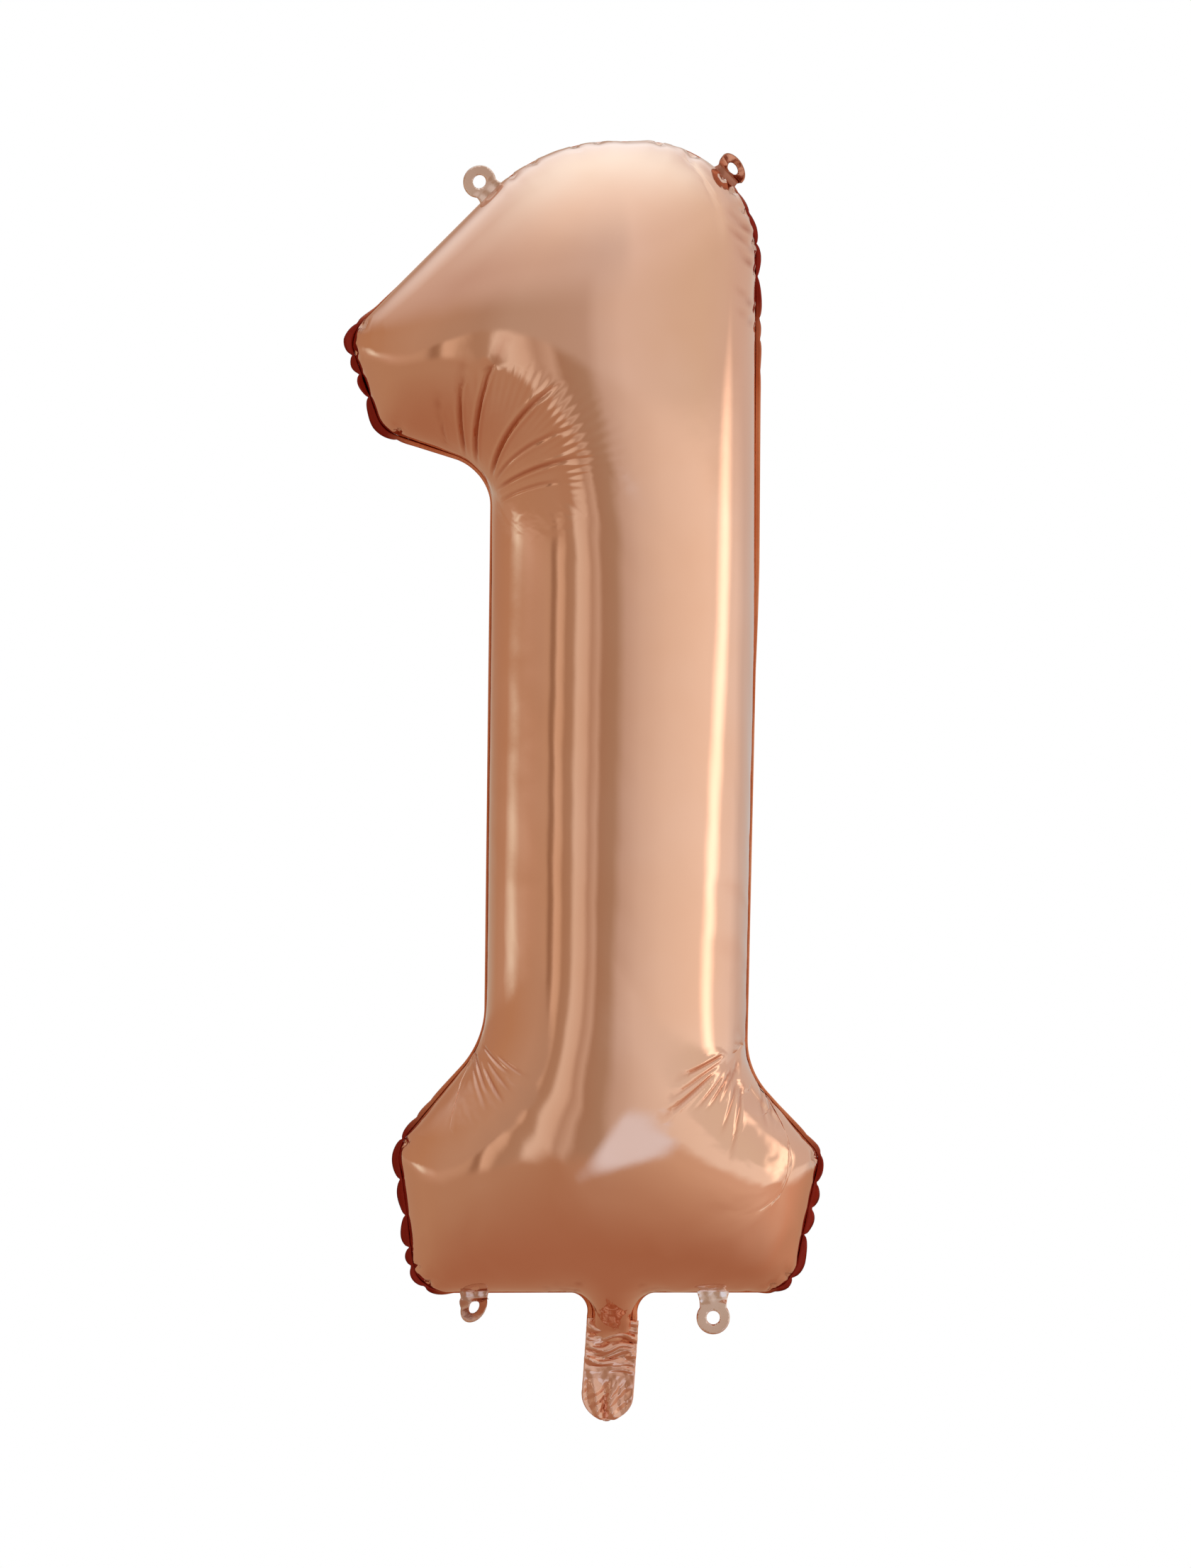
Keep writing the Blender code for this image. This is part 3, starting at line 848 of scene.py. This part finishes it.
def makeTab(spec, material):
    # a punched ear of welded film, filleted into the weld strip and crinkled at its root
    points, faces = tabMesh(spec["reach"])
    hinge = tabShape["hinge"]
    name = spec["side"] + "_tab"
    rng = np.random.default_rng(len(name) + int(spec["toward"]))
    u, v = points.T
    # gathers run up from the root and die out towards the hole
    gather = sum(rng.uniform(0.25, 0.6) * np.sin(u / rng.uniform(1.2, 2.6) + rng.uniform(0, 6) + 0.12 * v)
                 for _ in range(3))
    buckle = sum(rng.uniform(0.2, 0.4)
                 * np.sin((u * math.cos(t) + v * math.sin(t)) / rng.uniform(3, 5) + rng.uniform(0, 6))
                 for t in (0.4, 1.9, 2.6))
    fromRoot = np.clip(v - tabShape["root"], 0, None)
    forward = gather * np.exp(-fromRoot / tabShape["gatherFade"]) * tabShape["gather"]
    forward += buckle * tabShape["buckle"]
    away = v - hinge
    share = smoothStep(away / tabShape["twistLength"])
    angle = np.radians(spec["twist"]) * share
    across = u * np.cos(angle) - forward * np.sin(angle)
    front = u * np.sin(angle) + forward * np.cos(angle)
    tilt = np.radians(spec["lean"]) * smoothStep((away + 2.5) / 5)
    out = away * np.cos(tilt) - front * np.sin(tilt)
    front = away * np.sin(tilt) + front * np.cos(tilt)
    heading = math.radians(spec["toward"])
    outDir = np.array([math.cos(heading), math.sin(heading)])
    along = np.array([outDir[1], -outDir[0]])
    root = np.array(spec["root"]) - hang
    plan = root + np.outer(out + hinge, outDir) + np.outer(across, along)
    shape = np.stack([plan[:, 0], -front, plan[:, 1]], 1)
    tab = meshObject(name.replace("_", ""), shape, faces, material)
    # painted shade over the tab, a little less towards the hole
    paintPoints(tab, "foldTone", spec["tone"] * (1 - 0.35 * share))
    thicken(tab, tabShape["film"], 0)
    smoothShade(tab)
    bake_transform(tab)
    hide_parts("tab_" + spec["side"])


for spec in tabPlaces:
    makeTab(spec, tabFoil)
print("tabs made:", len(tabPlaces))


# filling tail

tail = {
    "width": 38.5, "top": (-5.1, 51.4), "lean": 4.0, "length": 51.5, "sleeve": 24.0, "seam": 4.0, "half": 1.1,
    "across": 48, "down": 120, "endRows": 34, "seed": 17, "area": 0.0026,      # square metres
    "upperFolds": (11.5, 8.3, 6.2, 4.2), "lowerFolds": (15.0, 11.2, 8.6, 6.0),
}


def crushed(u, v, rng, aim, spread, lengths, slope):
    # facets of crushed film: folded waves of several lengths, each along its own line, on a warped sheet
    warpU = 1.6 * np.sin(v / 6.3 + 1) + 1.1 * np.sin(u / 4.1 + v / 9 + 2)
    warpV = 1.5 * np.sin(u / 5.2) + 1.0 * np.sin(v / 4.7 - u / 8 + 4)
    height = np.zeros(len(u))
    for length in lengths:
        angle = math.radians(aim + rng.uniform(-spread, spread))
        along = (u + warpU) * math.cos(angle) + (v + warpV) * math.sin(angle)
        folds = triangleWave(along / length + rng.uniform(0, 1))
        height += folds * slope * length / 4 * rng.uniform(0.6, 1.2)
    return height


def tailCrinkle(u, v, rng):
    # sideways folds above, a calm patch, then slanting folds
    upper = crushed(u, v, rng, 90, 14, tail["upperFolds"], 0.34)
    lower = crushed(u, v, rng, 40, 60, tail["lowerFolds"], 0.32)
    high = smoothStep((19 - v) / 12)
    low = smoothStep((v - 18) / 14)
    return high * upper + np.maximum(low, 0.12) * lower


def makeTail(material):
    # crushed flat sleeve of two plies, closed round its edge, over the neck's end
    rng = np.random.default_rng(tail["seed"])
    deselectAll()
    bpy.ops.mesh.primitive_grid_add(x_subdivisions=tail["across"], y_subdivisions=tail["down"], size=2)
    sleeve = bpy.context.object
    sleeve.name = "fillingTail"
    sleeve.data.name = "fillingTail"
    grid = np.empty(len(sleeve.data.vertices) * 3, np.float32)
    sleeve.data.vertices.foreach_get("co", grid)
    grid = grid.reshape(-1, 3).astype(float)
    half = tail["width"] / 2
    end = tail["length"] - half
    # straight rows down to the round end, whose rows close on a circle
    row = (1 - grid[:, 1]) / 2 * tail["down"]
    straightRows = tail["down"] - tail["endRows"]
    turn = np.clip((row - straightRows) / tail["endRows"], 0, 1) * math.radians(88)
    v = np.minimum(row / straightRows, 1) * (end + tail["sleeve"]) - tail["sleeve"] + half * np.sin(turn)
    wide = half * np.cos(turn)
    u = grid[:, 0] * wide
    edge = smoothStep((1 - np.abs(grid[:, 0])) * wide / tail["seam"])
    fold = tailCrinkle(u, v, rng) * (0.25 + 0.75 * edge)
    lean = math.radians(tail["lean"])
    x = tail["top"][0] + u * math.cos(lean) - v * math.sin(lean)
    z = tail["top"][1] - u * math.sin(lean) - v * math.cos(lean)
    places = np.stack([x - hang[0], fold, z - hang[1]], 1) * millimetre
    sleeve.data.vertices.foreach_set("co", places.astype(np.float32).ravel())
    makeActive(sleeve)
    bpy.ops.object.mode_set(mode="EDIT")
    bpy.ops.mesh.select_all(action="SELECT")
    bpy.ops.mesh.normals_make_consistent(inside=False)
    bpy.ops.object.mode_set(mode="OBJECT")
    sleeve.data.materials.append(material)
    # two plies with the neck's end between them
    applyModifier(sleeve, "SOLIDIFY", thickness=2 * tail["half"] * millimetre, offset=0)
    smoothShade(sleeve)
    return sleeve


fillingTail = makeTail(tailFoil)
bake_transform(fillingTail)
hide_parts("tail_front_ply", "tail_rear_ply", "tail_left_seam", "tail_right_seam")
print("tail made")


# valve films stay as they are, in clear film

def valveMaterial():
    # blown polyethylene: clear, faintly milky, with a soft gloss
    material = startMaterial("polyethyleneValveFilm")
    coords = addNode(material, "TexCoord")
    haze = rangeNode(material, noiseNode(material, coords, 60.0, 2.0), 0.0, 1.0, 0.2, 0.4)
    film = addNode(material, "BsdfPrincipled", None, Base_Color=linearColour("#E9EDF0"), Roughness=haze,
                   Alpha=0.45, IOR=1.51)
    addNode(material, "OutputMaterial", None, Surface=(film, "BSDF"))
    return material


valveFilm = valveMaterial()
for node in ("valve_front_film", "valve_rear_film"):
    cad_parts[node].data.materials.clear()
    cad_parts[node].data.materials.append(valveFilm)


# stage: floor, light, camera

studio = {"camera": (-0.008, -4.0, -0.4545), "lens": 162.0, "floor": -1.95, "backdrop": 1.0}

# the soft room: azimuth from the front, positive to the right, and linear red, green and blue
# first the band at eye height
eyeRound = [
    (-180, 0.62, 0.60, 0.57), (-160, 0.51, 0.41, 0.32), (-135, 0.51, 0.34, 0.23), (-92, 0.62, 0.46, 0.36),
    (-68, 0.56, 0.42, 0.31), (-65, 0.34, 0.22, 0.15), (-62, 0.36, 0.24, 0.16), (-59, 0.74, 0.60, 0.48),
    (-54, 0.66, 0.52, 0.40), (-51, 0.44, 0.31, 0.22), (-44, 0.46, 0.34, 0.25), (-40, 0.78, 0.72, 0.64),
    (-31, 0.70, 0.60, 0.51), (-27, 0.50, 0.38, 0.30), (-21, 0.62, 0.52, 0.44), (-17, 0.42, 0.30, 0.22),
    (-5, 0.44, 0.34, 0.26), (3, 0.60, 0.53, 0.48), (18, 0.73, 0.68, 0.63), (40, 0.85, 0.81, 0.75),
    (80, 0.97, 0.93, 0.86), (118, 0.90, 0.88, 0.85), (132, 0.70, 0.67, 0.65), (160, 0.62, 0.63, 0.63),
    (180, 0.62, 0.62, 0.60),
]
# the wall above that band
wallRound = [
    (-180, 0.55, 0.42, 0.33), (-150, 0.47, 0.28, 0.18), (-110, 0.51, 0.33, 0.21), (-75, 0.53, 0.39, 0.29),
    (-48, 0.47, 0.36, 0.28), (-36, 0.52, 0.44, 0.37), (-3, 0.56, 0.49, 0.44), (4, 0.68, 0.64, 0.61),
    (18, 0.78, 0.75, 0.72), (75, 0.76, 0.72, 0.64), (120, 0.71, 0.64, 0.60), (180, 0.66, 0.58, 0.52),
]
# the top of the wall, under the ceiling
upperRound = [
    (-180, 1.15, 1.36, 1.50), (-150, 1.02, 1.15, 1.24), (-115, 0.68, 0.60, 0.56), (-75, 0.62, 0.53, 0.49),
    (-36, 0.70, 0.65, 0.62), (4, 0.70, 0.68, 0.68), (17, 0.74, 0.73, 0.73), (26, 0.84, 0.83, 0.83),
    (90, 0.84, 0.82, 0.76), (140, 0.78, 0.78, 0.80), (180, 1.15, 1.36, 1.50),
]
# the foot of the wall; the floor below it is darker
footRound = [
    (-180, 0.46, 0.27, 0.17), (-110, 0.50, 0.34, 0.23), (-60, 0.49, 0.34, 0.24), (-24, 0.46, 0.29, 0.19),
    (0, 0.55, 0.41, 0.31), (35, 0.66, 0.50, 0.38), (72, 0.75, 0.57, 0.46), (100, 0.70, 0.45, 0.33),
    (135, 0.56, 0.36, 0.25), (180, 0.46, 0.27, 0.17),
]
# how far the eye-height band hangs down and how far it climbs (0 to 1), and where a tall lamp stands
bandHang = [(-180, 0.04), (-66, 0.06), (-48, 0.2), (-34, 0.5), (-12, 1.0), (0, 1.0), (12, 0.3), (180, 0.0)]
bandClimb = [
    (-180, 0.05), (-75, 0.08), (-64, 0.45), (-46, 1.0), (-30, 0.85), (-12, 0.5), (2, 0.3), (180, 0.3),
]
lampRound = [(-180, 0), (-121, 0), (-113, 0.85), (-109, 1.0), (-100, 0.2), (-84, 0), (180, 0)]


room = {
    "overheadFront": (1.03, 1.09, 1.10, 1), "overheadBack": (1.18, 1.46, 1.58, 1),
    "ground": (0.41, 0.21, 0.13, 1), "lamp": (0.92, 0.98, 0.90, 1), "sheet": (0.80, 0.91, 1.08, 1),
    # heights between which one part gives way to the next, from 1 straight up to -1 straight down
    "lampLevel": (0.02, 0.06), "upperFrom": (0.34, 0.64), "overheadFrom": (0.62, 1.03),
    "footTo": (-0.11, 0.0), "groundFrom": (-0.25, -0.97), "sheetTop": (-0.13, -0.05),
    "soft": 0.035, "hang": 0.26, "climb": 0.2, "sheetEdge": (0.62, 1.1),
    "sheetAlong": (2.05, -0.57), "sheetAcross": (-2.7, 1.80), "sheetRise": 6.0,
}


def studioWorld():
    # soft room round the object: pale overhead, warm and dim towards the floor, copper to the left
    world = bpy.data.worlds.new("studioRoom")
    bpy.context.scene.world = world
    world.use_nodes = True
    world.node_tree.nodes.clear()
    coords = addNode(world, "TexCoord")
    parts = addNode(world, "SeparateXYZ", None, Vector=(coords, "Generated"))
    height = (parts, "Z")
    azimuth = mathNode(world, "ARCTAN2", (parts, "X"), mathNode(world, "MULTIPLY", (parts, "Y"), -1.0))
    share = mathNode(world, "MULTIPLY_ADD", azimuth, 0.5 / math.pi, 0.5)

    def roundColour(stops):
        colour = addNode(world, "ValToRGB", None, Fac=share)
        return ramp(colour, [((a + 180) / 360, (*c, 1)) for a, *c in stops]), 0

    def roundValue(stops):
        return roundColour([(a, v, v, v) for a, v in stops])

    def blendBy(value, limits, first, second):
        # from the first colour to the second as the value goes between the limits
        return mixNode(world, rangeNode(world, value, *limits, kind="SMOOTHSTEP"), first, second)

    # a tall lamp far off to the left, a thin bright band at eye height
    level = mathNode(world, "ABSOLUTE", height)
    lampGlow = blendBy(level, room["lampLevel"], roundValue(lampRound), (0, 0, 0, 1))
    eyeBand = mixNode(world, lampGlow, roundColour(eyeRound), room["lamp"])
    climbing = mathNode(world, "MULTIPLY_ADD", roundValue(bandClimb), -room["climb"], height)
    wall = blendBy(climbing, (-room["soft"], room["soft"]), eyeBand, roundColour(wallRound))
    upper = blendBy(height, room["upperFrom"], wall, roundColour(upperRound))
    overhead = blendBy((parts, "Y"), (-0.5, 0.4), room["overheadFront"], room["overheadBack"])
    above = blendBy(height, room["overheadFrom"], upper, overhead)
    deep = rangeNode(world, height, *room["groundFrom"])
    ground = mixNode(world, deep, roundColour(footRound), room["ground"])
    hanging = mathNode(world, "MULTIPLY_ADD", roundValue(bandHang), room["hang"], height)
    whole = blendBy(hanging, room["footTo"], ground, above)
    # a pale bluish sheet low in front, slanting up to the right
    along = mathNode(world, "MULTIPLY_ADD", azimuth, *room["sheetAlong"])
    across = mathNode(world, "MULTIPLY_ADD", azimuth, *room["sheetAcross"])
    across = mathNode(world, "MULTIPLY_ADD", height, room["sheetRise"], across)
    place = addNode(world, "CombineXYZ", None, X=along, Y=across)
    away = addNode(world, "VectorMath", {"operation": "LENGTH"}, i0=(place, "Vector"))
    sheet = blendBy((away, "Value"), room["sheetEdge"], room["sheet"], whole)
    lit = blendBy(height, room["sheetTop"], sheet, whole)
    ray = addNode(world, "LightPath")
    white = studio["backdrop"]
    seen = mixNode(world, (ray, "Is Camera Ray"), lit, (white, white, white, 1))
    back = addNode(world, "Background", None, Color=seen, Strength=1.0)
    addNode(world, "OutputWorld", None, Surface=(back, "Background"))


softbox = {"name": "rightSoftbox", "azimuth": 93, "distance": 1.7, "size": (0.50, 1.35), "height": -0.40,
           "roll": 46, "glow": 0.95, "tint": "#FFF2E4"}


def addSoftbox(spec):
    # a cloth-fronted lamp panel that fades towards its rim; it lights the foil and isn't seen itself
    a = math.radians(spec["azimuth"])
    place = Vector((spec["distance"] * math.sin(a), -spec["distance"] * math.cos(a), spec["height"]))
    facing = (Vector((0, 0, place.z)) - place).to_track_quat("Z", "Y").to_euler()
    deselectAll()
    bpy.ops.mesh.primitive_plane_add(size=1, location=place, rotation=facing)
    panel = bpy.context.object
    panel.name = spec["name"]
    panel.scale = (*spec["size"], 1)
    panel.rotation_euler.rotate_axis("Z", math.radians(spec["roll"]))
    cloth = startMaterial(spec["name"] + "Cloth")
    coords = addNode(cloth, "TexCoord")
    parts = addNode(cloth, "SeparateXYZ", None, Vector=(coords, "Object"))
    fades = []
    for axis, soft in (("X", 0.48), ("Y", 0.3)):
        off = mathNode(cloth, "ABSOLUTE", (parts, axis))
        fades.append(rangeNode(cloth, off, 0.5, 0.5 - soft, kind="SMOOTHSTEP"))
    power = mathNode(cloth, "MULTIPLY", mathNode(cloth, "MULTIPLY", *fades), spec["glow"])
    glow = addNode(cloth, "Emission", None, Color=linearColour(spec["tint"]), Strength=power)
    clear = addNode(cloth, "BsdfTransparent")
    mixed = addNode(cloth, "AddShader", None, i0=(clear, "BSDF"), i1=(glow, "Emission"))
    addNode(cloth, "OutputMaterial", None, Surface=(mixed, "Shader"))
    panel.data.materials.append(cloth)
    panel.visible_camera = False
    panel.visible_shadow = False


studioWorld()
addSoftbox(softbox)


def addFloor():
    deselectAll()
    bpy.ops.mesh.primitive_plane_add(size=12, location=(0, 0, studio["floor"]))
    floor = bpy.context.object
    floor.name = "studioFloor"
    paint = startMaterial("mattFloorPaint")
    coords = addNode(paint, "TexCoord")
    tone = addNode(paint, "ValToRGB", None, Fac=noiseNode(paint, coords, 30.0, 2.0))
    ramp(tone, [(0.3, linearColour("#D9D4CF")), (0.7, linearColour("#DED9D4"))])
    matt = addNode(paint, "BsdfPrincipled", None, Base_Color=(tone, "Color"), Roughness=0.9)
    addNode(paint, "OutputMaterial", None, Surface=(matt, "BSDF"))
    floor.data.materials.append(paint)
    floor.visible_glossy = False      # the room's own warm ground is what the foil mirrors


addFloor()
bpy.ops.object.camera_add(location=studio["camera"], rotation=(math.pi / 2, 0, 0))
camera = bpy.context.object
camera.data.sensor_fit = "HORIZONTAL"
camera.data.sensor_width = 36
camera.data.lens = studio["lens"]
bpy.context.scene.camera = camera
bpy.context.scene.view_settings.view_transform = "Standard"
print("stage set")
